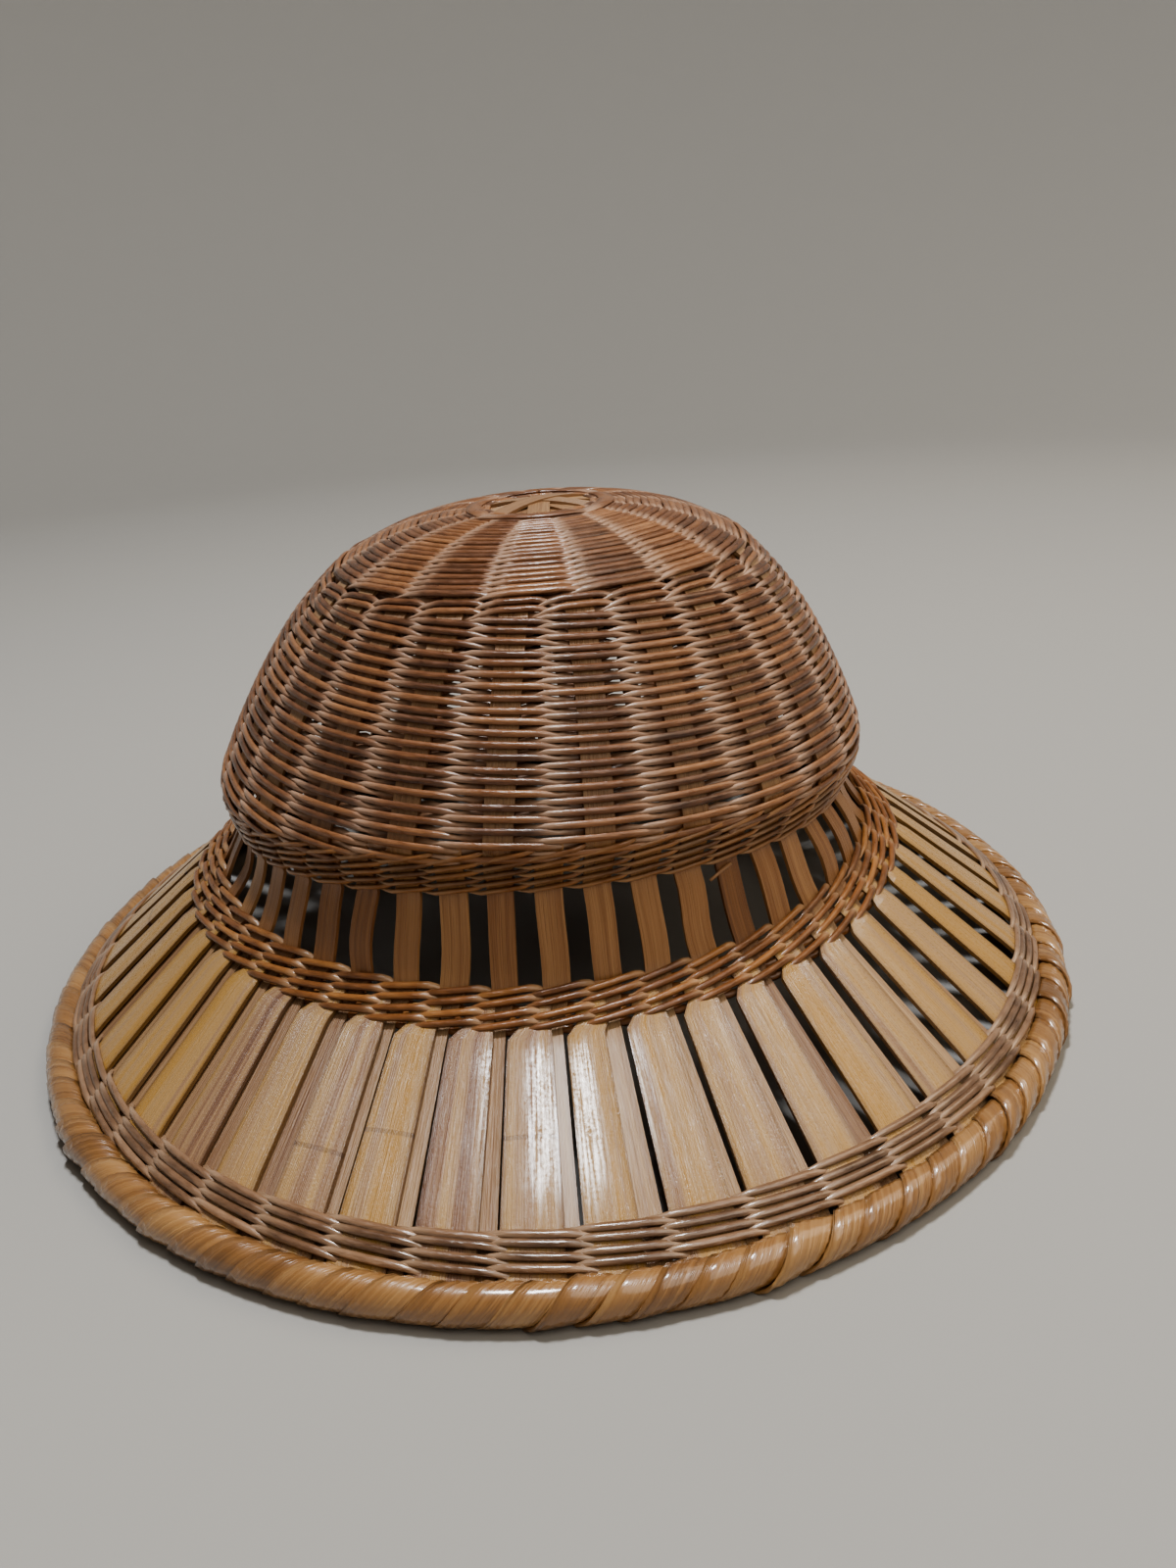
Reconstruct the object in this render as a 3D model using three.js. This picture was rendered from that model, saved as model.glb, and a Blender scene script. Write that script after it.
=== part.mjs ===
// A sun hat in pith helmet form, woven from bamboo: a twined crown, an open vent band of bare slats,
// a twined base band, a brim of flat splints held by a twined outer band, and a roped rim.
// Millimetres, +Z up, the nose of the hat towards -Y. The rim rests on z = 0.
import * as THREE from 'three';

// Crown
const crownWidth = 176;
const crownLength = 198;
const crownHeight = 73;
const crownWall = 3;
const capWall = 3.6;
const crownLean = 6.5;
const apexRise = 0.6;
const apexFlat = 0.6;

// Border round the foot of the crown. It dips at the sides and lies lower at the nose than at the nape.
const borderWall = 4.2;
const borderSaddle = 3.9;
const borderNoseDrop = 2.2;

// Vent band
const ventHeight = 17;
const ventFlare = 6.8;

// Base band
const baseRun = 8.2;
const baseDrop = 5.8;
const baseWall = 3.6;
const baseSideRise = 1.4;
const baseNoseDrop = 1.6;

// Brim, whose run is level distance and whose drop is height
const brimRunSide = 40;
const brimRunFront = 58;
const brimDrop = 31;
const brimWall = 3.6;
const brimBandInner = 0.755;
const brimBandOuter = 0.89;

// Rim roll
const rimDiameter = 9.5;
const rimLobeDepth = 0.11;
const rimLean = 1;
const rimSides = 8;

// Strips of split bamboo from the crown to the rim. On the brim each one is a wide splint, which lies half
// a pitch beside the slat that it is bound to in the base band.
const stripCount = 48;
const splintShift = 0.5;
const stripThickness = 1.2;
const slatWidthTop = 6.4;
const slatWidthFoot = 7.3;
const shoulderRun = 4;
const splintGapFront = 1.3;
const splintGapSide = 2.6;

// Clearance between pieces that touch
const clearance = 0.3;

const turn = Math.PI * 2;
const pitch = turn / stripCount;
const stripAngles = Array.from({ length: stripCount }, (_, i) => i * pitch);

// Half widths and heights of the levels that follow each other from the crown to the floor
const rimRadius = rimDiameter / 2;
const rimHeight = rimRadius * Math.cos(turn / 2 / rimSides);
const baseFootHeight = rimHeight + brimDrop;
const baseHeadHeight = baseFootHeight + baseDrop;
const borderHeight = baseHeadHeight + ventHeight;
const crownTop = borderHeight + crownHeight;

// Crown profile from the apex down to the foot of the border, as shares of the crown's height and width.
// A row has a name where a piece begins or ends.
const crownProfile = [
  { name: 'apexEdge', up: 0.995, wide: 0.16 },
  { name: '', up: 0.979, wide: 0.32 },
  { name: '', up: 0.945, wide: 0.448 },
  { name: '', up: 0.896, wide: 0.55 },
  { name: 'capFoot', up: 0.832, wide: 0.638 },
  { name: '', up: 0.687, wide: 0.76 },
  { name: '', up: 0.541, wide: 0.848 },
  { name: '', up: 0.396, wide: 0.917 },
  { name: '', up: 0.26, wide: 0.972 },
  { name: 'borderHead', up: 0.151, wide: 1 },
  { name: 'borderFoot', up: 0, wide: 0.955 },
];

// A level is a function from the angle, measured from the nose towards +X, to a point of the woven surface
function level(halfWidth, halfLength, height, lean = 0) {
  return (angle) => new THREE.Vector3(
    halfWidth * Math.sin(angle) + lean,
    -halfLength * Math.cos(angle),
    height(angle),
  );
}

const borderWave = (angle) => borderSaddle * Math.cos(2 * angle) - borderNoseDrop * Math.cos(angle);
const borderFoot = (angle) => borderHeight + borderWave(angle);
const baseWave = (angle) => -baseSideRise * Math.cos(2 * angle) - baseNoseDrop * Math.cos(angle);

function crownLevel({ up, wide }) {
  const height = (angle) => borderFoot(angle) + (crownTop - borderFoot(angle)) * up;
  return level(crownWidth / 2 * wide, crownLength / 2 * wide, height, crownLean * up);
}

const footWide = crownProfile[crownProfile.length - 1].wide;
const baseHeadHalf = [crownWidth / 2 * footWide + ventFlare, crownLength / 2 * footWide + ventFlare];
const baseFootHalf = baseHeadHalf.map((half) => half + baseRun);
const rimHalf = [baseFootHalf[0] + brimRunSide, baseFootHalf[1] + brimRunFront];
const baseHead = level(...baseHeadHalf, (angle) => baseHeadHeight + baseWave(angle));
const baseFoot = level(...baseFootHalf, (angle) => baseFootHeight + baseWave(angle));
const rimCentre = level(...rimHalf, () => rimHeight);

function brimLevel(share) {
  return (angle) => baseFoot(angle).lerp(rimCentre(angle), share);
}

// A level at a set distance from another one, on the way to a third
function stepTowards(from, to, distance) {
  return (angle) => {
    const start = from(angle);
    const step = to(angle).sub(start).setLength(distance);
    return start.add(step);
  };
}

// The whole woven surface from the apex to the rim, level by level
const levels = [
  ...crownProfile.map((row) => ({ name: row.name, at: crownLevel(row) })),
  { name: 'baseHead', at: baseHead },
  { name: 'baseFoot', at: baseFoot },
  { name: 'shoulder', at: stepTowards(baseFoot, rimCentre, shoulderRun) },
  { name: 'bandHead', at: brimLevel(brimBandInner) },
  { name: 'bandFoot', at: brimLevel(brimBandOuter) },
  { name: 'stripEnd', at: stepTowards(rimCentre, baseFoot, rimRadius + 2 * clearance) },
];
const indexOf = (name) => levels.findIndex((entry) => entry.name === name);

// A point of the woven surface with the directions along the path, across it and outward
function frameAt(index, angle) {
  const small = 0.001;
  const { at } = levels[index];
  const before = levels[Math.max(index - 1, 0)].at(angle);
  const after = levels[Math.min(index + 1, levels.length - 1)].at(angle);
  const along = after.sub(before).normalize();
  const across = at(angle + small).sub(at(angle - small)).normalize();
  const outward = new THREE.Vector3().crossVectors(along, across).normalize();
  return { point: at(angle), along, across, outward };
}

function meshGeometry(positions, faces) {
  const geometry = new THREE.BufferGeometry();
  geometry.setAttribute('position', new THREE.Float32BufferAttribute(positions, 3));
  geometry.setIndex(faces);
  return geometry;
}

// A skin over loops of points, each with the same number of points. Closed, it joins the last to the first,
// and otherwise it caps both ends.
function loftGeometry(loops, closed) {
  const size = loops[0].length;
  const faces = [];
  const spans = closed ? loops.length : loops.length - 1;
  for (let i = 0; i < spans; i += 1) {
    const next = (i + 1) % loops.length;
    for (let j = 0; j < size; j += 1) {
      const turned = (j + 1) % size;
      const [a, b, c, d] = [i * size + j, i * size + turned, next * size + turned, next * size + j];
      faces.push(a, b, c, a, c, d);
    }
  }
  if (!closed) {
    const last = (loops.length - 1) * size;
    for (let j = 1; j < size - 1; j += 1) {
      faces.push(0, j + 1, j, last, last + j, last + j + 1);
    }
  }
  return meshGeometry(loops.flat().flatMap((point) => point.toArray()), faces);
}

// A wall that goes all round the hat from one level to another, with its foot drawn in by a trim
function ringWall(head, foot, wall, footTrim) {
  const loops = [];
  for (let i = 0; i < stripCount; i += 1) {
    const angle = (i + 0.5) * pitch;
    const outer = [];
    const inner = [];
    for (let index = indexOf(head); index <= indexOf(foot); index += 1) {
      const { point, along, outward } = frameAt(index, angle);
      if (index === indexOf(foot)) point.addScaledVector(along, -footTrim);
      outer.push(point.clone().addScaledVector(outward, wall / 2));
      inner.unshift(point.clone().addScaledVector(outward, -wall / 2));
    }
    loops.push([...outer, ...inner]);
  }
  return loftGeometry(loops, true);
}

// A strip runs from the head of the border to the rim
const stripHead = indexOf('borderHead');
const stripLevels = levels.length - stripHead;

function stripAngleAt(index, angle) {
  return index < indexOf('baseFoot') ? angle : angle + splintShift * pitch;
}

function stripWidth(index, angle) {
  if (index <= indexOf('borderFoot')) return slatWidthTop;
  if (index <= indexOf('baseFoot')) return slatWidthFoot;
  const { at } = levels[index];
  const room = at(angle + pitch / 2).distanceTo(at(angle - pitch / 2));
  return room - THREE.MathUtils.lerp(splintGapFront, splintGapSide, Math.sin(angle) ** 2);
}

function stripGeometry(angle) {
  const corners = [[-1, -1], [1, -1], [1, 1], [-1, 1]];
  const loops = Array.from({ length: stripLevels }, (_, i) => {
    const index = stripHead + i;
    const place = stripAngleAt(index, angle);
    const { point, across, outward } = frameAt(index, place);
    if (i === 0) point.copy(stepTowards(levels[index].at, levels[index + 1].at, clearance)(place));
    const halfWidth = stripWidth(index, place) / 2;
    const halfThickness = stripThickness / 2;
    return corners.map(([side, face]) => point.clone()
      .addScaledVector(across, side * halfWidth)
      .addScaledVector(outward, face * halfThickness));
  });
  return loftGeometry(loops, false);
}

// A band woven over and under the strips, with one slot for each. Round each slot it has an edge on either
// side, and on each edge four layers of points at the head and four at the foot.
function threadedBand(head, foot, wall) {
  const slot = stripThickness / 2 + clearance;
  const layers = [wall / 2, slot, -slot, -wall / 2];
  const positions = [];
  stripAngles.forEach((angle) => [-1, 1].forEach((side) => [head, foot].forEach((name) => {
    const index = indexOf(name);
    const place = stripAngleAt(index, angle);
    const { point, across, outward } = frameAt(index, place);
    point.addScaledVector(across, side * (stripWidth(index, place) / 2 + clearance));
    layers.forEach((out) => positions.push(...point.clone().addScaledVector(outward, out).toArray()));
  })));
  const edgeCount = 2 * stripCount;
  const vertex = (edge, [end, layer]) => ((edge % edgeCount) * 2 + end) * layers.length + layer;
  const block = (first, last) => {
    const depth = Array.from({ length: last - first + 1 }, (_, i) => first + i);
    return [...depth.map((layer) => [1, layer]), ...depth.reverse().map((layer) => [0, layer])];
  };
  const faces = [];
  const addQuad = (a, b, c, d) => faces.push(a, b, c, a, c, d);
  const addBar = (edge, loop) => loop.forEach((corner, j) => {
    const turned = loop[(j + 1) % loop.length];
    addQuad(vertex(edge, corner), vertex(edge, turned), vertex(edge + 1, turned), vertex(edge + 1, corner));
  });
  for (let edge = 0; edge < edgeCount; edge += 2) {
    addBar(edge, block(0, 1));
    addBar(edge, block(2, 3));
    addBar(edge + 1, block(0, 3));
    addQuad(...block(1, 2).map((corner) => vertex(edge, corner)));
    addQuad(...block(1, 2).reverse().map((corner) => vertex(edge + 1, corner)));
  }
  return meshGeometry(positions, faces);
}

// The rim is a rope of wraps, one to a strip, flat where it rests
function rimGeometry() {
  const stepsPerWrap = 2;
  const loops = [];
  for (let i = 0; i < stripCount * stepsPerWrap; i += 1) {
    const angle = (i / stepsPerWrap) * pitch;
    const centre = rimCentre(angle);
    const out = new THREE.Vector3(Math.sin(angle) / rimHalf[0], -Math.cos(angle) / rimHalf[1], 0).normalize();
    const loop = [];
    for (let j = 0; j < rimSides; j += 1) {
      const round = ((j + 0.5) / rimSides) * turn;
      const groove = 0.5 + 0.5 * Math.cos(stripCount * angle + rimLean * round);
      const radius = rimRadius * (1 - rimLobeDepth * groove);
      const point = centre.clone().addScaledVector(out, radius * Math.cos(round));
      const underside = Math.sin(round) < -Math.cos(turn / rimSides);
      point.z = underside ? 0 : centre.z + radius * Math.sin(round);
      loop.unshift(point);
    }
    loops.push(loop);
  }
  return loftGeometry(loops, true);
}

// The oval of crossed strips that closes the cap. Its edge leans as the cap's does, so the cap carries it.
function apexGeometry() {
  const layers = [
    { out: -capWall / 2, wide: 1 },
    { out: capWall / 2, wide: 1 },
    { out: capWall / 2 + apexRise, wide: apexFlat },
  ];
  const middle = levels[0].at(0).add(levels[0].at(Math.PI)).divideScalar(2);
  const everyOther = stripAngles.filter((_, i) => i % 2 === 0);
  const loops = layers.map(({ out, wide }) => everyOther.map((angle) => {
    const { point, along, outward } = frameAt(0, angle);
    point.addScaledVector(along, -clearance).addScaledVector(outward, out);
    point.x = THREE.MathUtils.lerp(middle.x, point.x, wide);
    point.y = THREE.MathUtils.lerp(middle.y, point.y, wide);
    return point;
  }));
  return loftGeometry(loops, false);
}

const hat = new THREE.Group();

function addPiece(name, geometry, colour, roughness) {
  const material = new THREE.MeshStandardMaterial({ color: colour, roughness, metalness: 0 });
  const mesh = new THREE.Mesh(geometry, material);
  mesh.name = name;
  hat.add(mesh);
}

const weaveBrown = 0x8a5a34;
const bandBrown = 0xa3682f;
const slatBrown = 0xa9774a;
const rimBrown = 0xb0702c;
const plainRoughness = 0.4;
const varnishRoughness = 0.33;

addPiece('crown_apex', apexGeometry(), slatBrown, plainRoughness);
addPiece('crown_cap', ringWall('apexEdge', 'capFoot', capWall, clearance), weaveBrown, plainRoughness);
addPiece('crown_sides', ringWall('capFoot', 'borderHead', crownWall, clearance), weaveBrown, plainRoughness);
addPiece('crown_border', threadedBand('borderHead', 'borderFoot', borderWall), bandBrown, varnishRoughness);
addPiece('base_band', threadedBand('baseHead', 'baseFoot', baseWall), bandBrown, varnishRoughness);
addPiece('brim_band', threadedBand('bandHead', 'bandFoot', brimWall), bandBrown, varnishRoughness);
addPiece('rim_roll', rimGeometry(), rimBrown, varnishRoughness);
stripAngles.forEach((angle, i) => {
  const number = String(i + 1).padStart(2, '0');
  addPiece(`strip_${number}`, stripGeometry(angle), slatBrown, varnishRoughness);
});

export default hat;
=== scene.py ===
import math

import bpy
import numpy as np
from mathutils import Matrix, Vector


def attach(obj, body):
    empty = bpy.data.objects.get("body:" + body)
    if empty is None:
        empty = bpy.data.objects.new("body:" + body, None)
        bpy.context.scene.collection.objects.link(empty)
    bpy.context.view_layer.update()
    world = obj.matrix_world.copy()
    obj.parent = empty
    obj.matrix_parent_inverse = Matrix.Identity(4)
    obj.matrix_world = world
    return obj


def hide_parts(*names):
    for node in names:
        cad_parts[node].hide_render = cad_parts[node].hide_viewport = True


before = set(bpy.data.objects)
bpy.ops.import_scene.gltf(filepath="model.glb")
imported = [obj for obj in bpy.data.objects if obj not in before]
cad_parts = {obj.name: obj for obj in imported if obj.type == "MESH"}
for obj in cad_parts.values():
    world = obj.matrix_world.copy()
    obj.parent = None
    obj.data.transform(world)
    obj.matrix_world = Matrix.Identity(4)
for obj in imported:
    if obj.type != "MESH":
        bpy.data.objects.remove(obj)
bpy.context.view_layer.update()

# The slats. 48 narrow strips of split bamboo come out of the crown, stand bare in the vent band, pass through
# the base band and run on under the brim splints to the rim. Where they stand bare, the crown's shade is
# painted on them as a darker brown, and no two stand quite alike.
strip_count = 48
pitch = 2 * math.pi / strip_count
slat_width = 0.0066
slat_width_spread = 0.05
slat_rim_widening = 1.25
slat_thickness = 0.0009
slat_sway = 0.0003
slat_stand_out = 0.0006
slat_bow = 0.0002
slat_twist = 0.05
gap_turn = math.radians(0.5)
gap_front = 0.0010
gap_side = 0.0024
gap_spread = 0.25
gap_sway = 0.004
splint_thickness = 0.0009
chance = np.random.default_rng(5)
strip_nodes = [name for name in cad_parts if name.startswith("strip_")]

# Every strip and strand lies on one woven surface, the middle of each wall. It runs from the apex over the
# widest part of the crown, in through the vent band and out over the brim to the rim. Angles are measured
# from the nose of the hat towards +X, and lengths are in metres.
crown_half_width = 0.088
crown_half_length = 0.099
crown_height = 0.073
crown_lean = 0.0065
border_saddle = 0.0039
border_nose_drop = 0.0022
vent_height = 0.017
vent_flare = 0.0068
base_run = 0.0082
base_drop = 0.0058
base_side_rise = 0.0014
base_nose_drop = 0.0016
brim_run_side = 0.040
brim_run_front = 0.058
brim_drop = 0.031
rim_radius = 0.00475
rim_height = rim_radius * math.cos(math.pi / 8)
base_foot_height = rim_height + brim_drop
base_head_height = base_foot_height + base_drop
border_height = base_head_height + vent_height
crown_top = border_height + crown_height

APEX, CAP_FOOT, BORDER_HEAD, BORDER_FOOT, BASE_HEAD, BASE_FOOT, RIM = 0, 4, 9, 10, 11, 12, 13
crown_up = [0.995, 0.979, 0.945, 0.896, 0.832, 0.687, 0.541, 0.396, 0.26, 0.151, 0]
crown_wide = [0.16, 0.32, 0.448, 0.55, 0.638, 0.76, 0.848, 0.917, 0.972, 1, 0.955]


def smooth_through(values, steps):
    """Rows of a table joined by a smooth curve, with a number of steps from each row to the next."""
    values = np.asarray(values, float)
    before = np.vstack([2 * values[0] - values[1], values[:-1]])
    after = np.vstack([values[1:], 2 * values[-1] - values[-2]])
    slope = (after - before) / 2
    share = np.linspace(0, 1, steps, endpoint=False)[:, None]
    pieces = []
    for i in range(len(values) - 1):
        a, b, c, d = values[i], values[i + 1], slope[i], slope[i + 1]
        rise = share * share * (3 - 2 * share)
        pieces.append(a + (b - a) * rise + c * share * (1 - share) ** 2 - d * share ** 2 * (1 - share))
    return np.vstack(pieces + [values[-1:]])


crown_rows = smooth_through(np.column_stack([crown_up, crown_wide]), 40)
crown_levels = np.linspace(APEX, BORDER_FOOT, len(crown_rows))
foot_wide = crown_wide[-1]
base_head_half = np.array([crown_half_width, crown_half_length]) * foot_wide + vent_flare
base_foot_half = base_head_half + base_run
rim_half = base_foot_half + [brim_run_side, brim_run_front]

surface_levels = np.concatenate([crown_levels, [BASE_HEAD, BASE_FOOT, RIM]])
surface_table = {
    "half_width": np.append(crown_half_width * crown_rows[:, 1],
                            [base_head_half[0], base_foot_half[0], rim_half[0]]),
    "half_length": np.append(crown_half_length * crown_rows[:, 1],
                             [base_head_half[1], base_foot_half[1], rim_half[1]]),
    "height": np.append(border_height + crown_height * crown_rows[:, 0],
                        [base_head_height, base_foot_height, rim_height]),
    "saddle": np.append(border_saddle * (1 - crown_rows[:, 0]), [-base_side_rise, -base_side_rise, 0]),
    "nose": np.append(-border_nose_drop * (1 - crown_rows[:, 0]), [-base_nose_drop, -base_nose_drop, 0]),
    "lean": np.append(crown_lean * crown_rows[:, 0], [0, 0, 0]),
}


def surface(angle, level):
    """Points of the woven surface."""
    at = {name: np.interp(level, surface_levels, column) for name, column in surface_table.items()}
    x = at["half_width"] * np.sin(angle) + at["lean"]
    y = -at["half_length"] * np.cos(angle)
    z = at["height"] + at["saddle"] * np.cos(2 * angle) + at["nose"] * np.cos(angle)
    return np.stack([x, y, z], -1)


def unit(vectors):
    return vectors / np.linalg.norm(vectors, axis=-1, keepdims=True)


def surface_frame(angle, level):
    """Points of the woven surface with the ways across, down and outward there."""
    small = 0.02
    across = unit(surface(angle + small, level) - surface(angle - small, level))
    below, above = np.minimum(level + small, RIM), np.maximum(level - small, APEX)
    down = unit(surface(angle, below) - surface(angle, above))
    return surface(angle, level), across, down, unit(np.cross(down, across))


def level_at_height(angle, height):
    """The level of the crown that lies at a height."""
    foot = border_height + border_saddle * np.cos(2 * angle) - border_nose_drop * np.cos(angle)
    up = (height - foot) / (crown_top - foot)
    return np.interp(up, crown_rows[::-1, 0], crown_levels[::-1])


def length_along(line):
    """The distance from the start of a line to each of its points."""
    return np.concatenate([[0], np.cumsum(np.linalg.norm(np.diff(line, axis=0), axis=1))])


class Bundle:
    """Strips or strands gathered into one mesh. Each has a tone of its own, a tip mark where it dives, and
    a map whose V runs along it in metres and whose U runs across it. On the slats the tip mark is 0 where
    they stand bare, which gives them the brown of painted shade."""

    strand_sides = 6
    strip_columns = 5

    def __init__(self):
        self.points, self.faces, self.maps, self.tones, self.tips = [], [], [], [], []
        self.count = 0

    def lay_sections(self, sections, tone, tip=0.0, start=0.0, across=None):
        """Closed sections joined one to the next, with a cap on either end."""
        steps, sides = sections.shape[:2]
        length = length_along(sections.mean(axis=1)) + start
        index = self.count + np.arange(steps * sides).reshape(steps, sides)
        turned = np.roll(index, -1, axis=1)
        quads = np.stack([index[:-1], turned[:-1], turned[1:], index[1:]], -1).reshape(-1, 4)
        self.faces += quads.tolist() + [index[0][::-1].tolist(), index[-1].tolist()]
        if across is None:
            across = np.abs(np.linspace(-1, 1, sides, endpoint=False))
        self.points.append(sections.reshape(-1, 3))
        self.maps.append(np.stack(np.broadcast_arrays(across[None, :], length[:, None]), -1).reshape(-1, 2))
        self.tones.append(np.full(steps * sides, tone))
        self.tips.append(np.repeat(np.broadcast_to(tip, steps), sides))
        self.count += steps * sides

    def lay(self, middle, outward, width, thickness, tone, tip=0.0, start=0.0):
        """An oval strand along its middle line."""
        along = unit(np.gradient(middle, axis=0))
        side = unit(np.cross(along, outward))
        face = np.cross(side, along)
        turn = (np.arange(self.strand_sides) + 0.5) * 2 * math.pi / self.strand_sides
        half_width = np.broadcast_to(width, len(middle))[:, None, None] / 2
        half_thickness = np.broadcast_to(thickness, len(middle))[:, None, None] / 2
        sections = (middle[:, None] + side[:, None] * half_width * np.cos(turn)[None, :, None]
                    + face[:, None] * half_thickness * np.sin(turn)[None, :, None])
        self.lay_sections(sections, tone, tip, start)

    def lay_flat(self, middle, across, outward, left, right, thickness, tone, tip=0.0, arch=0.0):
        """A flat strip between two lines, given as distances to either side of its middle line."""
        spread = np.linspace(0, 1, self.strip_columns)
        left, right = (np.broadcast_to(line, len(middle)) for line in (left, right))
        reach = left[:, None] + (right - left)[:, None] * spread
        top = middle[:, None] + across[:, None] * reach[..., None]
        top = top + outward[:, None] * (thickness / 2 + arch * (1 - (2 * spread - 1) ** 2))[None, :, None]
        bottom = top - outward[:, None] * thickness
        sections = np.concatenate([top, bottom[:, ::-1]], axis=1)
        map_across = np.concatenate([spread, spread[::-1]]) * 2 - 1
        self.lay_sections(sections, tone, tip, chance.random(), map_across)

    def piece(self, name, nodes, material, sharp=False):
        """The finished piece, which stands for CAD nodes. A sharp one keeps its edges crisp."""
        mesh = bpy.data.meshes.new(name)
        mesh.from_pydata(np.vstack(self.points).tolist(), [], self.faces)
        corners = np.empty(len(mesh.loops), int)
        mesh.loops.foreach_get("vertex_index", corners)
        uv = mesh.uv_layers.new(name="along")
        uv.data.foreach_set("uv", np.vstack(self.maps)[corners].ravel())
        for label, values in (("tone", self.tones), ("tip", self.tips)):
            attribute = mesh.attributes.new(label, "FLOAT", "POINT")
            attribute.data.foreach_set("value", np.concatenate(values))
        mesh.shade_smooth()
        made = bpy.data.objects.new(name, mesh)
        bpy.context.collection.objects.link(made)
        made.data.materials.append(material)
        if sharp:
            bpy.ops.object.select_all(action="DESELECT")
            made.select_set(True)
            bpy.context.view_layer.objects.active = made
            bpy.ops.object.shade_smooth_by_angle(angle=math.radians(40))
        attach(made, "root")
        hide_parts(*nodes)


class Wire:
    """A shader socket that does arithmetic by adding Math nodes."""

    def __init__(self, finish, socket):
        self.finish, self.socket = finish, socket

    def math(self, operation, *others, clamp=False):
        values = dict(enumerate((self, *others)))
        return self.finish.node("Math", {"operation": operation, "use_clamp": clamp}, values)

    def __add__(self, other):
        return self.math("ADD", other)

    def __sub__(self, other):
        return self.math("SUBTRACT", other)

    def __rsub__(self, other):
        return self.finish.node("Math", {"operation": "SUBTRACT"}, {0: other, 1: self})

    def __mul__(self, other):
        return self.math("MULTIPLY", other)

    __radd__ = __add__
    __rmul__ = __mul__


class Finish:
    """A material's nodes, with one method that adds any of them."""

    def __init__(self, name):
        self.material = bpy.data.materials.new(name)
        self.material.use_nodes = True
        self.tree = self.material.node_tree
        self.tree.nodes.clear()

    def node(self, kind, settings=None, inputs=None, output=0):
        made = self.tree.nodes.new("ShaderNode" + kind)
        for key, value in (settings or {}).items():
            if key == "stops":
                ramp = made.color_ramp
                while len(ramp.elements) < len(value):
                    ramp.elements.new(1.0)
                for element, (position, colour) in zip(ramp.elements, value):
                    element.position, element.color = position, (*colour, 1.0)
            else:
                setattr(made, key, value)
        for key, value in (inputs or {}).items():
            if isinstance(value, Wire):
                self.tree.links.new(value.socket, made.inputs[key])
            else:
                made.inputs[key].default_value = value
        return Wire(self, made.outputs[output]) if len(made.outputs) else None

    def mix(self, factor, first, second):
        """Two colours mixed, which are sockets 6 and 7 of the node and its output 2."""
        return self.node("Mix", {"data_type": "RGBA"}, {"Factor": factor, 6: first, 7: second}, output=2)

    def attribute(self, name):
        return self.node("Attribute", {"attribute_name": name}, output="Fac")

    def grain(self, across, along):
        """Noise drawn out along each strip, from the map that follows it."""
        uv = self.node("UVMap", {"uv_map": "along"})
        tone = self.attribute("tone")
        shift = self.node("CombineXYZ", inputs={"Z": tone * 37.0})
        stretched = self.node("VectorMath", {"operation": "MULTIPLY"}, {0: uv, 1: (across, along, 1.0)})
        placed = self.node("VectorMath", {"operation": "ADD"}, {0: stretched, 1: shift})
        return self.node("TexNoise", inputs={"Vector": placed, "Scale": 1.0, "Detail": 3.0})

    def surface(self, colour, roughness, bump, varnish):
        shader = self.node("BsdfPrincipled", inputs={
            "Base Color": colour, "Roughness": roughness, "Normal": bump,
            "Coat Weight": varnish, "Coat Roughness": 0.16, "IOR": 1.5})
        self.node("OutputMaterial", inputs={"Surface": shader})
        return self.material


slat_finish = Finish("slat_bamboo")
slat_grain = slat_finish.grain(3.0, 16.0)
slat_fibre = slat_finish.grain(12.0, 40.0)
slat_tone = slat_finish.attribute("tone")
slat_shade = slat_grain * 0.5 + slat_fibre * 0.3 + slat_tone * 0.25
# Painted shade: the slats are tan, and this darker brown is painted on where they stand bare in the shade of
# the crown. The stakes and the apex strips take a share of it as well.
slat_painted_shade_brown = slat_finish.node("ValToRGB", {"stops": [
    (0.25, (0.14, 0.055, 0.022)),
    (0.5, (0.31, 0.145, 0.06)),
    (0.8, (0.5, 0.28, 0.13))]}, {"Fac": slat_shade})
slat_tan = slat_finish.node("ValToRGB", {"stops": [
    (0.25, (0.16, 0.075, 0.04)),
    (0.5, (0.32, 0.19, 0.105)),
    (0.8, (0.46, 0.3, 0.16))]}, {"Fac": slat_shade})
slat_bump = slat_finish.node("Bump", inputs={"Strength": 0.6, "Distance": 0.0008, "Height": slat_fibre})
slat_colour = slat_finish.mix(slat_finish.attribute("tip"), slat_painted_shade_brown, slat_tan)
slat_material = slat_finish.surface(slat_colour, 0.24 + 0.3 * slat_fibre, slat_bump, 0.1)


def brim_room(angle, level, gap_scale):
    """The width on the brim from one gap to the next, less the gap."""
    gap = gap_front + (gap_side - gap_front) * math.sin(angle) ** 2
    whole = np.linalg.norm(surface(angle + pitch / 2, level) - surface(angle - pitch / 2, level), axis=-1)
    return whole - gap * gap_scale


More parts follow.
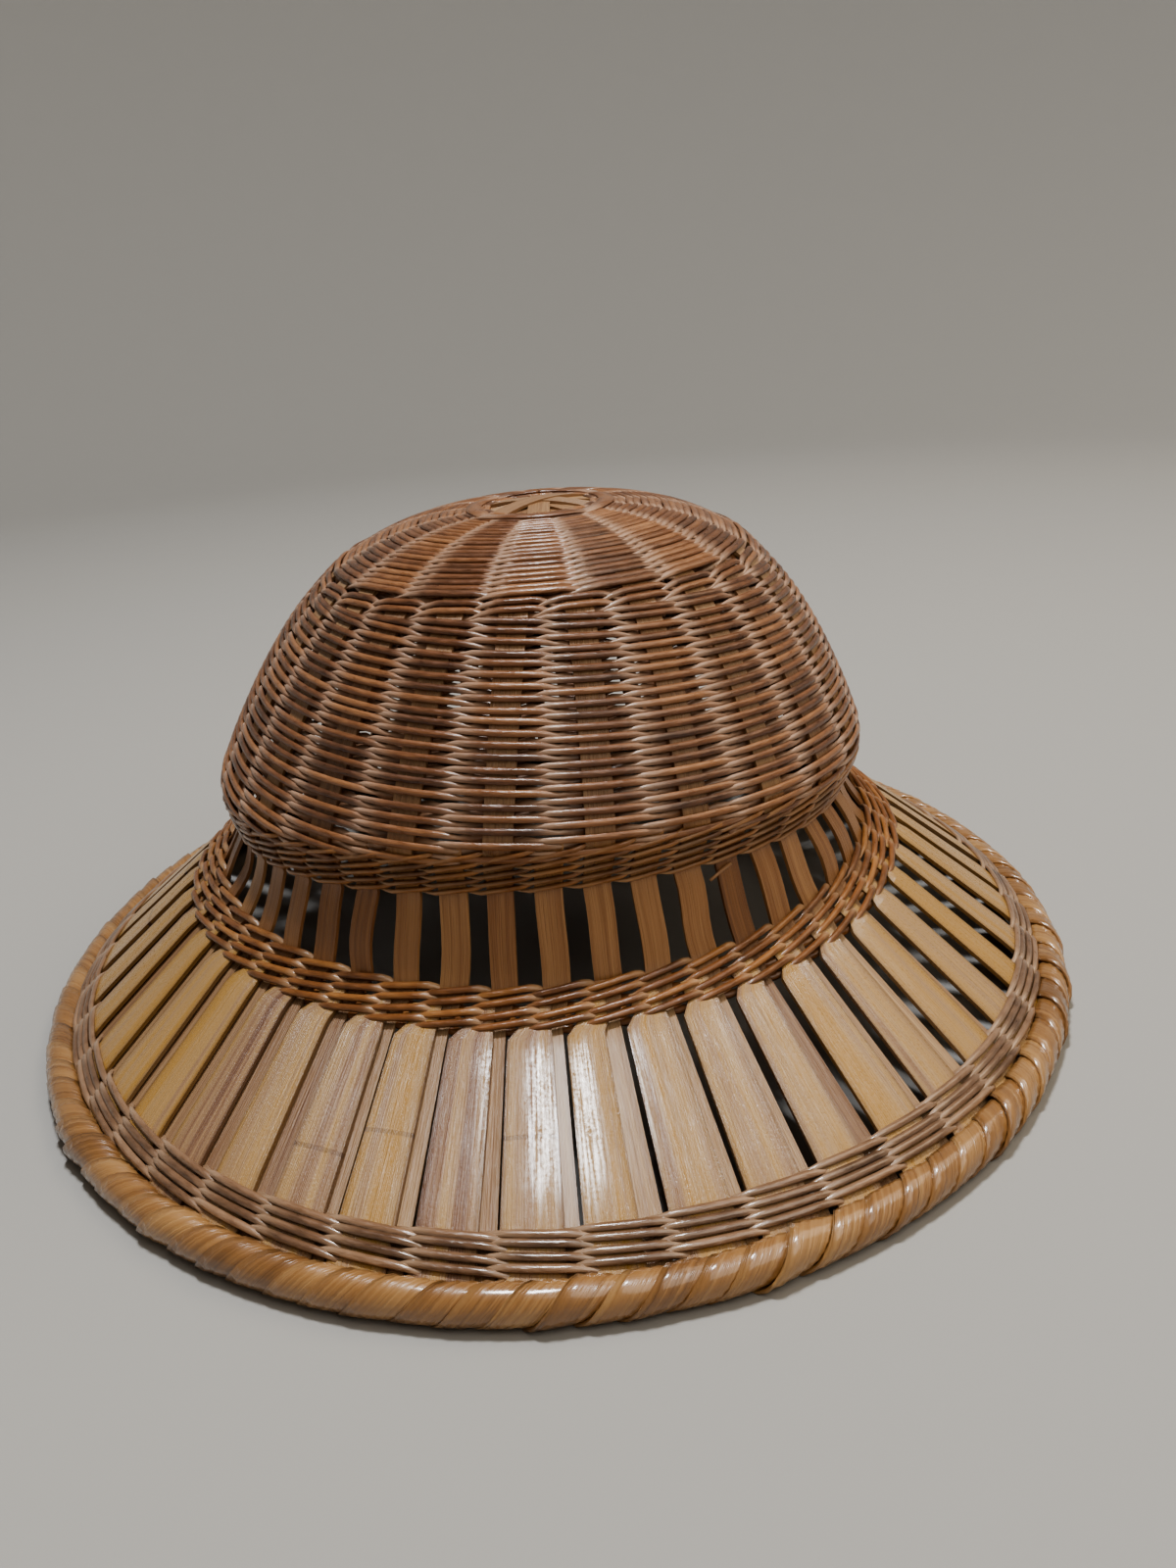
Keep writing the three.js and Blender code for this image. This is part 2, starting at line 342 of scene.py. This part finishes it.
gap_scales = 1 + chance.normal(0, gap_spread, strip_count)
gap_sways = chance.normal(0, gap_sway, strip_count)
slats = Bundle()
for i in range(strip_count):
    angle = i * pitch
    brim_angle = angle - pitch / 2 + gap_turn
    bare_levels = np.linspace(BORDER_HEAD - 0.3, BASE_HEAD, 13)
    level = np.concatenate([bare_levels, np.linspace(BASE_HEAD, RIM, 15)[1:]])
    width = slat_width * (1 + chance.normal(0, slat_width_spread))
    width = width * np.interp(level, [BASE_FOOT, RIM], [1, slat_rim_widening])
    bare = (level > BORDER_FOOT) & (level < BASE_HEAD)
    free = np.where(bare, np.sin(math.pi * (level - BORDER_FOOT)), 0)
    upper, across, down, outward = surface_frame(np.full(len(level), angle), level)
    bow = np.where(bare, np.sin(2 * math.pi * (level - BORDER_FOOT)), 0)
    shift = across * chance.normal(0, slat_sway) + outward * chance.normal(0, slat_stand_out)
    upper = upper + shift * free[:, None]
    upper = upper + across * (chance.normal(0, slat_bow) * bow)[:, None]
    bend = np.clip((level - BASE_FOOT) / (RIM - BASE_FOOT), 0, 1) * gap_sways[i]
    lower, across, down, outward = surface_frame(brim_angle + bend, level)
    reach = brim_room(brim_angle, level, gap_scales[i]) / 2 - width / 2
    lower = lower + across * reach[:, None] - outward * (splint_thickness * 1.2)
    on_brim = np.clip(level - BASE_HEAD, 0, 1)[:, None]
    middle = upper + (lower - upper) * on_brim
    turned = unit(outward + across * (chance.normal(0, slat_twist) * free)[:, None])
    # The tip mark is 0 where the slat stands bare and 1 on the brim, so the bare part takes the painted
    # shade.
    slats.lay_flat(middle, across, turned, -width / 2, width / 2, slat_thickness, chance.random(),
                   np.clip(level - BASE_HEAD, 0, 1))
slats.piece("slats", strip_nodes, slat_material, sharp=True)

# The brim splints. A wide strip with cut shoulders is pushed into the base band between each two slats and
# fans out over the brim, lying on the edge of the slat beside it. The strips are streaked lengthwise with
# gold and purple brown, and are varnished.
splint_head_width = 0.0072
shoulder_length = 0.0036
splint_share = 0.78
splint_share_spread = 0.06
splint_tilt = 0.03
splint_arch = 0.0003
joints_per_metre = 4.0
joint_half_share = 0.0022

splint_finish = Finish("splint_bamboo")
splint_streak = splint_finish.grain(1.9, 4.0)
splint_fibre = splint_finish.grain(22.0, 24.0)
splint_tone = splint_finish.attribute("tone")
splint_colour = splint_finish.node("ValToRGB", {"stops": [
    (0.3, (0.13, 0.06, 0.04)),
    (0.4, (0.24, 0.13, 0.075)),
    (0.49, (0.36, 0.22, 0.12)),
    (0.58, (0.43, 0.265, 0.115)),
    (0.68, (0.42, 0.235, 0.068))]},
    {"Fac": splint_streak * 0.76 + splint_fibre * 0.14 + splint_tone * 0.3 - 0.04})
splint_uv = splint_finish.node("UVMap", {"uv_map": "along"})
splint_across = splint_finish.node("SeparateXYZ", inputs={0: splint_uv})
splint_along = splint_finish.node("SeparateXYZ", inputs={0: splint_uv}, output=1)
splint_edge = splint_across.math("ABSOLUTE").math("POWER", 9.0)
joint_distance = ((splint_along * joints_per_metre).math("FRACT") - 0.5).math("ABSOLUTE")
splint_joint = joint_distance.math("LESS_THAN", joint_half_share)
splint_colour = splint_finish.mix(
    splint_joint * 0.35 + splint_edge * 0.65, splint_colour, (0.07, 0.028, 0.012, 1.0))
splint_speck = splint_finish.node("TexNoise", inputs={
    "Vector": splint_finish.node("TexCoord", output="Object"), "Scale": 1400.0, "Detail": 1.0})
splint_rough = 0.06 + 0.28 * splint_fibre + 0.2 * splint_speck
splint_relief = splint_fibre + 0.15 * splint_speck + 0.6 * splint_streak + splint_joint * 0.5
splint_bump = splint_finish.node("Bump", inputs={
    "Strength": 0.5, "Distance": 0.0009, "Height": splint_relief})
splint_gloss = splint_finish.grain(9.0, 60.0) * 2.2
splint_varnish = (splint_gloss - 0.85).math("ADD", splint_speck - 0.5, clamp=True)
splint_material = splint_finish.surface(splint_colour, splint_rough, splint_bump, splint_varnish)

splints = Bundle()
for i in range(strip_count):
    brim_angle = i * pitch - pitch / 2 + gap_turn
    level = np.concatenate([[BASE_FOOT - 0.5], BASE_FOOT + np.array([-0.05, 0.0, 0.025, 0.055, 0.1]),
                            np.linspace(BASE_FOOT + 0.2, RIM, 9)])
    along = np.clip((level - BASE_FOOT) / (RIM - BASE_FOOT), 0, 1)
    last_bend, bend = along * gap_sways[i - 1], along * gap_sways[i]
    middle, across, down, outward = surface_frame(brim_angle + (last_bend + bend) / 2, level)
    room = brim_room(brim_angle, level, gap_scales[i])
    slope_length = np.linalg.norm(surface(brim_angle, RIM) - surface(brim_angle, BASE_FOOT))
    opened = np.clip(along * slope_length / shoulder_length, 0, 1)
    head = np.minimum(splint_head_width, room)
    left = -head / 2 + (head - room) / 2 * opened
    share = np.clip(splint_share + chance.normal(0, splint_share_spread), 0.6, 0.95)
    right = left + head + (room * share - head) * opened
    lift = np.interp(level, [BASE_FOOT, BASE_FOOT + 0.1, RIM - 0.3, RIM], [0.0002, 0.0006, 0.0005, -0.0004])
    tilt = unit(outward + across * chance.normal(0, splint_tilt))
    # The tone is partly each splint's own, at random, and partly painted light: the splints are painted more
    # golden towards the sides and greyer at the nose, in place of the glare on the front.
    tone = 0.5 * chance.random() + 0.6 * abs(math.sin(brim_angle))
    splints.lay_flat(middle + outward * lift[:, None], across, tilt, left, right, splint_thickness, tone,
                     arch=splint_arch)
splints.piece("brim_splints", strip_nodes, splint_material, sharp=True)

# The crown sides. Pairs of brown bamboo strands are twined round 24 upright stakes, one strand in front of a
# stake while the other passes behind it, and they cross in each gap. The rows are level, so the slanting
# border cuts them off, and the pale stakes show between them.
column_count = 24
column = 2 * math.pi / column_count
first_stake = pitch
row_pitch = 0.0028
row_start = 0.45
row_overrun = 0.012
row_shift = 0.00012
row_wave = 0.00018
phase_range = 6.28
arched_rows = 2
follow_length = 0.03
strand_width = 0.00185
strand_thickness = 0.0011
strand_depth = 0.001
stake_width = 0.0069
stake_thickness = 0.0009


def weave_finish(name, dark, middle, light, tips, varnish, fibres=(3.0, 260.0), relief=0.0005):
    """Bamboo skin from dark to light, with fibres along it. It is paler where a float dives, and the same
    pale mark paints the highlights on the ends of the band floats.
    """
    finish = Finish(name)
    fibre = finish.grain(*fibres)
    blotch = finish.grain(0.3, 55.0)
    tone = finish.attribute("tone")
    brown = finish.node("ValToRGB", {"stops": [(0.25, dark), (0.52, middle), (0.82, light)]},
                        {"Fac": fibre * 0.4 + blotch * 0.4 + tone * 0.35 - 0.05})
    pale_tips_and_painted_highlights = finish.mix(finish.attribute("tip") * (0.55 + 0.6 * fibre), brown, (*tips, 1.0))
    bump = finish.node("Bump", inputs={"Strength": 0.6, "Distance": relief, "Height": fibre})
    return finish.surface(pale_tips_and_painted_highlights, 0.16 + 0.34 * fibre, bump, varnish)


crown_material = weave_finish(
    "crown_strand", (0.045, 0.014, 0.006), (0.18, 0.069, 0.026), (0.37, 0.172, 0.074),
    (0.48, 0.32, 0.225), 0.2)

# A float seen from outside, in front of one stake: where along it, how far it stands out, how far it drops,
# its width and how pale it is. Places are in columns, and drops in the distance from row to row.
pair_float = {
    "place": [-1.0, -0.82, -0.72, -0.62, -0.5, -0.25, 0.35, 0.52, 0.63, 0.72, 0.82, 1.0],
    "out": [-1.0, -0.8, -0.4, 0.2, 0.85, 1.0, 1.0, 0.6, 0.1, -0.4, -0.8, -1.0],
    "drop": [0.0, -0.2, -0.28, -0.32, -0.3, -0.18, 0.08, 0.2, 0.3, 0.28, 0.2, 0.0],
    "wide": [1.65, 1.65, 1.6, 0.62, 0.8, 1.0, 1.0, 0.85, 0.62, 1.6, 1.65, 1.65],
    "pale": [0.0, 0.2, 0.6, 1.0, 0.9, 0.1, 0.05, 0.6, 1.0, 0.6, 0.2, 0.0],
}
arched_float = dict(
    pair_float, drop=[0.0, 0.3, 0.4, 0.45, 0.25, -0.12, -0.16, 0.15, 0.45, 0.4, 0.3, 0.0])


def twine_row(bundle, level_of, columns, first, floats, spacing, width, thickness, depth, samples=8,
              last_level=RIM, contrast=0.0):
    """One row of two strands twined round the stakes, with one in front of each stake by turns."""
    angle = np.linspace(-math.pi, math.pi, columns * samples + 1)
    level = level_of(angle)
    inside = level < last_level
    middle, across, down, outward = surface_frame(angle, level)
    runs = np.flatnonzero(np.diff(np.concatenate([[0], inside.astype(int), [0]])))
    for strand in range(2):
        place = ((angle - first) * columns / (2 * math.pi) + strand + 1) % 2 - 1
        out, drop, wide, pale = (
            np.interp(place, floats["place"], floats[name]) for name in ("out", "drop", "wide", "pale"))
        path = middle + outward * (depth * out)[:, None] + down * (spacing * drop)[:, None]
        for start, stop in zip(runs[::2], runs[1::2]):
            if stop - start > 3:
                part = slice(start, stop)
                tone = chance.random() * (1 - contrast) + contrast * (1 - strand)
                bundle.lay(path[part], outward[part], width * wide[part], thickness, tone, pale[part],
                           start=chance.random())


# Rows are spaced down the slope at the nose. The top ones follow the foot of the cap, and the lowest ones
# run on past the border's foot at the nose until the slanting border ends them all.
crown_weave = Bundle()
profile = surface(np.zeros(200), np.linspace(CAP_FOOT, BORDER_FOOT, 200))
profile_length = length_along(profile)
row_places = np.arange(row_pitch * row_start, profile_length[-1] + row_overrun, row_pitch)
row_heights = np.interp(row_places, profile_length, profile[:, 2])
low_end = row_places > profile_length[-1]
row_heights[low_end] = profile[-1, 2] - (row_places[low_end] - profile_length[-1])
cap_foot_height = surface(0.0, CAP_FOOT)[2]
for row, row_height in enumerate(row_heights):
    shift = chance.normal(0, row_shift)
    phase = chance.random() * phase_range
    follow = max(1 - row_places[row] / follow_length, 0)

    def row_level(angle):
        lift = follow * (surface(angle, CAP_FOOT)[..., 2] - cap_foot_height)
        return level_at_height(angle, row_height + shift + lift + row_wave * np.sin(3 * angle + phase))

    floats = arched_float if row < arched_rows else pair_float
    twine_row(crown_weave, row_level, column_count, first_stake, floats, row_pitch, strand_width,
              strand_thickness, strand_depth, samples=9, last_level=BORDER_HEAD + 0.25)
crown_weave.piece("crown_weave", ["crown_sides"], crown_material)

stakes = Bundle()
for i in range(column_count):
    angle = first_stake + i * column
    level = np.linspace(CAP_FOOT - 0.8, BORDER_HEAD + 0.5, 16)
    middle, across, down, outward = surface_frame(np.full(len(level), angle), level)
    stakes.lay_flat(middle, across, outward, -stake_width / 2, stake_width / 2, stake_thickness,
                    chance.random(), 0.75)
stakes.piece("crown_stakes", ["crown_sides"], slat_material, sharp=True)

# The cap. The first rows of the crown are twined tightly round 16 stakes, so tightly that the strands press
# each other into long lenses and hide the stakes. The last row rides a little proud of the sides.
cap_columns = 16
cap_first = math.radians(-3.0)
cap_rows = 22
cap_depth = 0.0005
cap_proud = 0.0006
cap_width_share = 0.95
cap_wave = 0.02
cap_contrast = 0.4
cap_weave = Bundle()
cap_levels = np.linspace(CAP_FOOT - 0.15, APEX + 0.04, 80)
cap_length = length_along(surface(np.zeros(80), cap_levels))
cap_pitch = cap_length[-1] / (cap_rows - 1)
for row in range(cap_rows):
    cap_level = np.interp(row * cap_pitch, cap_length, cap_levels)
    phase = chance.random() * phase_range
    proud = cap_proud if row == 0 else 0.0
    twine_row(cap_weave,
              lambda angle: np.maximum(cap_level + cap_wave * np.sin(2 * angle + phase), APEX + 0.02),
              cap_columns, cap_first, arched_float, cap_pitch, cap_pitch * cap_width_share, strand_thickness,
              cap_depth + proud, samples=10, contrast=cap_contrast)
cap_weave.piece("cap_weave", ["crown_cap"], crown_material)

# The apex. Eight flat strips cross in the middle and spread into the 16 stakes of the cap, and the first row
# of twining closes round them in an oval.
apex_half = 0.019
apex_strips = 8
apex_strip_width = 0.0058
apex_strip_thickness = 0.0008
apex_strip_points = 13
apex_layer = 0.0003
apex_droop = 0.0008
ring_level = APEX + 0.3
ring_floats = 4
ring_first = math.radians(-6)
ring_spacing = 0.003
ring_width = 0.0048
ring_thickness = 0.0008
ring_depth = 0.0012
apex = Bundle()
apex_centre = (surface(0.0, APEX) + surface(math.pi, APEX)) / 2
for i in range(apex_strips):
    turn = cap_first + i * math.pi / apex_strips
    way = np.array([math.sin(turn), -math.cos(turn) * crown_half_length / crown_half_width, 0])
    reach = np.linspace(-1, 1, apex_strip_points)
    order = (3 * i + 5) % apex_strips
    middle = apex_centre + way * (apex_half * reach)[:, None]
    middle[:, 2] += apex_layer * order * (1 - reach ** 2) - apex_droop * reach ** 2
    upward = np.tile([0.0, 0.0, 1.0], (apex_strip_points, 1))
    sideways = np.tile(unit(np.array([-way[1], way[0], 0.0])), (apex_strip_points, 1))
    apex.lay_flat(middle, sideways, upward, -apex_strip_width / 2, apex_strip_width / 2,
                  apex_strip_thickness, chance.random(), 0.3 + 0.7 * chance.random())
apex.piece("apex_cross", ["crown_apex"], slat_material, sharp=True)
apex_ring = Bundle()
twine_row(apex_ring, lambda angle: np.full(len(angle), ring_level), ring_floats, ring_first, arched_float,
          ring_spacing, ring_width, ring_thickness, ring_depth, samples=32)
apex_ring.piece("apex_ring", ["crown_apex"], crown_material)

# The crown border. Five rows of thin strands are twined round the slats so steeply that each float rises to
# the right from a point and ends blunt above the next, with dark gaps between the rows.
border_rows = 5
border_spacing = 0.0022
border_width = 0.00135
border_thickness = 0.0011
border_depth = 0.0012
border_wave = 0.03
# The pale column paints a highlight on the pointed left end of each float; the blunt right end is paler a
# little.
border_float = {
    "place": [-1.0, -0.8, -0.62, -0.4, 0.4, 0.6, 0.68, 0.8, 1.0],
    "out": [-1.0, -0.8, 0.0, 0.8, 1.0, 0.8, -0.1, -0.9, -1.0],
    "drop": [0.0, 0.25, 0.52, 0.4, -0.36, -0.52, -0.54, -0.25, 0.0],
    "wide": [1.5, 1.4, 0.4, 0.85, 1.0, 1.0, 0.85, 1.3, 1.5],
    "pale": [0.0, 0.2, 0.8, 0.6, 0.1, 0.3, 0.3, 0.0, 0.0],
}
band_material = weave_finish(
    "band_strand", (0.06, 0.017, 0.005), (0.22, 0.078, 0.02), (0.42, 0.19, 0.055), (0.52, 0.34, 0.2), 0.2)
border = Bundle()
for row in range(border_rows):
    share = (row + 0.5) / border_rows
    phase = chance.random() * phase_range
    twine_row(border, lambda angle: BORDER_HEAD + share + border_wave * np.sin(2 * angle + phase),
              strip_count, 0.0, border_float, border_spacing, border_width, border_thickness, border_depth)

# One loose splinter hangs out of the border on the right of the nose
splinter_angle = np.radians([26.0, 28.0, 30.5])
splinter_level = BORDER_FOOT + np.array([0.22, 0.16, 0.1])
splinter_proud = 0.0008
splinter_width = 0.0009
splinter_thickness = 0.0006
middle, across, down, outward = surface_frame(splinter_angle, splinter_level)
border.lay(middle + outward * splinter_proud, outward, splinter_width, splinter_thickness, tone=0.7, tip=0.5)
border.piece("border_twine", ["crown_border"], band_material)

# The base band. Four rows of paired strands grip the slats and the heads of the splints. Each float rises to
# the right and ends blunt over the next, where a highlight is painted on in pale.
base_rows = 4
base_reach = 1.13
base_spacing = 0.0027
base_width = 0.0019
base_thickness = 0.0013
base_depth = 0.0013
base_wave = 0.02
# The pale column paints a highlight on the blunt right end of each float, and pales its left end where it
# dives.
base_float = {
    "place": [-1.0, -0.8, -0.66, -0.4, 0.35, 0.56, 0.68, 0.8, 1.0],
    "out": [-1.0, -0.8, -0.1, 0.85, 1.0, 0.85, -0.1, -0.9, -1.0],
    "drop": [0.0, 0.3, 0.42, 0.26, -0.26, -0.4, -0.42, -0.2, 0.0],
    "wide": [1.4, 1.3, 0.5, 0.9, 1.0, 1.1, 0.95, 1.3, 1.4],
    "pale": [0.0, 0.1, 0.5, 0.1, 0.05, 0.6, 0.9, 0.2, 0.0],
}
base_band = Bundle()
for row in range(base_rows):
    share = (row + 0.5) / base_rows
    phase = chance.random() * phase_range
    twine_row(base_band, lambda angle: BASE_HEAD + share * base_reach + base_wave * np.sin(3 * angle + phase),
              strip_count, 0.0, base_float, base_spacing, base_width, base_thickness, base_depth)
base_band.piece("base_twine", ["base_band"], band_material)

# The outer band. Four rows of paired strands hold the strips near the rim, in front of each wide splint in
# turn and crossing on the slat between.
outer_rows = 4
outer_head = BASE_FOOT + 0.765
outer_foot = BASE_FOOT + 0.915
outer_spacing = 0.0023
outer_width = 0.002
outer_thickness = 0.0012
outer_depth = 0.0014
outer_wave = 0.005
outer_material = weave_finish(
    "outer_strand", (0.05, 0.022, 0.011), (0.19, 0.1, 0.053), (0.37, 0.22, 0.13), (0.42, 0.28, 0.18), 1.0)
outer_band = Bundle()
for row in range(outer_rows):
    outer_level = outer_head + (outer_foot - outer_head) * (row + 0.5) / outer_rows
    phase = chance.random() * phase_range
    twine_row(outer_band, lambda angle: outer_level + outer_wave * np.sin(4 * angle + phase), strip_count,
              gap_turn - pitch / 2, pair_float, outer_spacing, outer_width, outer_thickness, outer_depth)
outer_band.piece("outer_twine", ["brim_band"], outer_material)

# The rim. The ends of the splints and slats are folded over a core and laid on each other like a rope, two
# to each place in the brim, so that each band leans over the one before and leaves a groove.
wrap_count = 2 * strip_count
wrap_width = 0.0125
wrap_advance = 0.024
wrap_thickness = 0.0009
wrap_spread = 0.07
wrap_start = math.radians(165)
wrap_end = math.radians(-150)
wrap_place_spread = 0.06
wrap_overlap = 0.001
wrap_overlap_spread = 0.3
wrap_inset = 0.0006
wrap_bulge = 0.0003
loose_share = 0.2
loose_factor = 1.7
core_inset = 0.0014
core_steps = 193
core_sides = 8
least_height = 0.0002

rim_material = weave_finish(
    "rim_wrap", (0.07, 0.026, 0.01), (0.31, 0.155, 0.057), (0.58, 0.35, 0.15), (0.45, 0.28, 0.15), 1.0,
    fibres=(7.0, 14.0), relief=0.0011)
rim = Bundle()


def rim_point(angle, turn, radius):
    """A point on the roll. The turn is 0 on the outer side and a quarter on top."""
    centre = surface(angle, np.full(np.shape(angle), float(RIM)))
    out = unit(np.stack([np.sin(angle) / rim_half[0], -np.cos(angle) / rim_half[1], 0 * angle], -1))
    up = np.array([0.0, 0.0, 1.0])
    point = centre + (out * np.cos(turn)[..., None] + up * np.sin(turn)[..., None]) * radius[..., None]
    point[..., 2] = np.maximum(point[..., 2], least_height)
    return point


core_angle, core_turn = np.meshgrid(
    np.linspace(-math.pi, math.pi, core_steps),
    np.arange(core_sides) * 2 * math.pi / core_sides, indexing="ij")
core = rim_point(core_angle, core_turn, np.full((core_steps, core_sides), rim_radius - core_inset))
rim.lay_sections(core[:, ::-1], 0.0)
mean_half = rim_half.mean()
lean_angle = math.atan2(2 * math.pi * rim_radius, wrap_advance)
for i in range(wrap_count):
    base_angle = (i + chance.normal(0, wrap_place_spread)) * 2 * math.pi / wrap_count
    turn_path = np.linspace(wrap_start, wrap_end, 15)
    drift = -(wrap_start - turn_path) / (2 * math.pi) * wrap_advance / mean_half
    side = np.linspace(-0.5, 0.5, 6)
    width = wrap_width * (1 + chance.normal(0, wrap_spread))
    tilt = wrap_overlap * (1 + chance.normal(0, wrap_overlap_spread))
    tilt = tilt * (loose_factor if chance.random() < loose_share else 1)
    slide = side * width * math.sin(lean_angle) / mean_half
    roll = -side * width * math.cos(lean_angle) / rim_radius
    angle = base_angle + drift[:, None] + slide[None, :]
    turn = turn_path[:, None] + roll[None, :]
    bulge = wrap_bulge * (1 - (2 * side) ** 2)
    lift = rim_radius - wrap_inset - tilt * side + bulge
    top = rim_point(angle, turn, np.broadcast_to(lift, angle.shape))
    under = rim_point(angle, turn, np.broadcast_to(lift - wrap_thickness, angle.shape))
    sections = np.concatenate([top, under[:, ::-1]], axis=1)
    tone = 0.3 + 0.45 * chance.random()
    map_across = np.concatenate([side, side[::-1]]) * 2
    rim.lay_sections(sections, tone, start=chance.random(), across=map_across)
rim.piece("rim_wraps", ["rim_roll"], rim_material)

# The floor. It is plain and pale, round, and sweeps up all round the hat into a plain wall, so that no edge
# of it shows from any side. It is a stage and no part of the hat.
floor_radius = 1.1
sweep_radius = 0.6
wall_height = 2.2
floor_sides = 96
sweep_turn = np.linspace(0, math.pi / 2, 13)
ring_radius = np.append(floor_radius + sweep_radius * np.sin(sweep_turn), floor_radius + sweep_radius)
ring_height = np.append(sweep_radius - sweep_radius * np.cos(sweep_turn), wall_height)
side_turn = np.arange(floor_sides) * 2 * math.pi / floor_sides
rings = [(radius * math.cos(turn), radius * math.sin(turn), height)
         for radius, height in zip(ring_radius, ring_height) for turn in side_turn]
walls = [(ring * floor_sides + i, (ring + 1) * floor_sides + i,
          (ring + 1) * floor_sides + (i + 1) % floor_sides, ring * floor_sides + (i + 1) % floor_sides)
         for ring in range(len(ring_radius) - 1) for i in range(floor_sides)]
floor_mesh = bpy.data.meshes.new("floor")
floor_mesh.from_pydata(rings, [], [tuple(range(floor_sides))] + walls)
floor_mesh.shade_smooth()
floor = bpy.data.objects.new("floor", floor_mesh)
bpy.context.collection.objects.link(floor)
floor_finish = Finish("floor_pale")
floor_speck = floor_finish.node("TexNoise", inputs={
    "Vector": floor_finish.node("TexCoord", output="Object"), "Scale": 40.0, "Detail": 4.0})
floor_bump = floor_finish.node("Bump", inputs={"Strength": 0.05, "Distance": 0.001, "Height": floor_speck})
floor.data.materials.append(
    floor_finish.surface((0.38, 0.37, 0.35, 1.0), 0.75 + 0.1 * floor_speck, floor_bump, 0.0))

# The light. A small lamp overhead makes the white glints, a warm one shines from the right, and a wide one
# fills the front. All three are aimed at the middle of the hat.
lamp_aim = Vector((0, 0, 0.06))
lamps = [
    ("ceiling", (-0.02, 0.06, 1.6), 0.27, 21.0, (0.95, 0.97, 1.0)),
    ("window", (0.9, 0.3, 1.2), 0.9, 5.5, (1.0, 0.84, 0.62)),
    ("fill", (0.75, -0.85, 1.35), 1.2, 9.0, (1.0, 0.94, 0.83)),
]
for name, place, size, power, colour in lamps:
    bpy.ops.object.light_add(type="AREA", location=place)
    light = bpy.context.object
    light.name = name
    light.data.size = size
    light.data.energy = power
    light.data.color = colour
    light.rotation_euler = (lamp_aim - light.location).to_track_quat("-Z", "Y").to_euler()
world = bpy.data.worlds.new("room")
bpy.context.scene.world = world
world.use_nodes = True
room_light = world.node_tree.nodes["Background"].inputs
room_light["Color"].default_value = (0.8, 0.82, 0.85, 1.0)
room_light["Strength"].default_value = 0.11
bpy.context.scene.view_settings.look = "AgX - Medium High Contrast"

# The camera. It stands where the photograph was taken from: a little above the hat, close in front of its
# nose, and rolled slightly.
focal_pixels = 1497
long_side_pixels = 1600
camera_elevation = math.radians(19.9)
camera_azimuth = math.radians(-1.6)
camera_roll = math.radians(4.5)
camera_distance = 0.443
sensor_width = 36
aim_right = 0.0135
aim_up = 0.0468
forward = Vector((0, math.cos(camera_elevation), -math.sin(camera_elevation)))
right = Vector((1, 0, 0))
turned = Matrix.Rotation(camera_azimuth, 3, "Z")
forward, right = turned @ forward, turned @ right
above = right.cross(forward)
place = right * aim_right + above * aim_up - forward * camera_distance
rolled_right = right * math.cos(camera_roll) - above * math.sin(camera_roll)
rolled_up = right * math.sin(camera_roll) + above * math.cos(camera_roll)
axes = Matrix((rolled_right, rolled_up, -forward)).transposed().to_4x4()
bpy.ops.object.camera_add()
camera = bpy.context.object
camera.data.sensor_width = sensor_width
camera.data.lens = sensor_width * focal_pixels / long_side_pixels
camera.matrix_world = Matrix.Translation(place) @ axes
bpy.context.scene.camera = camera
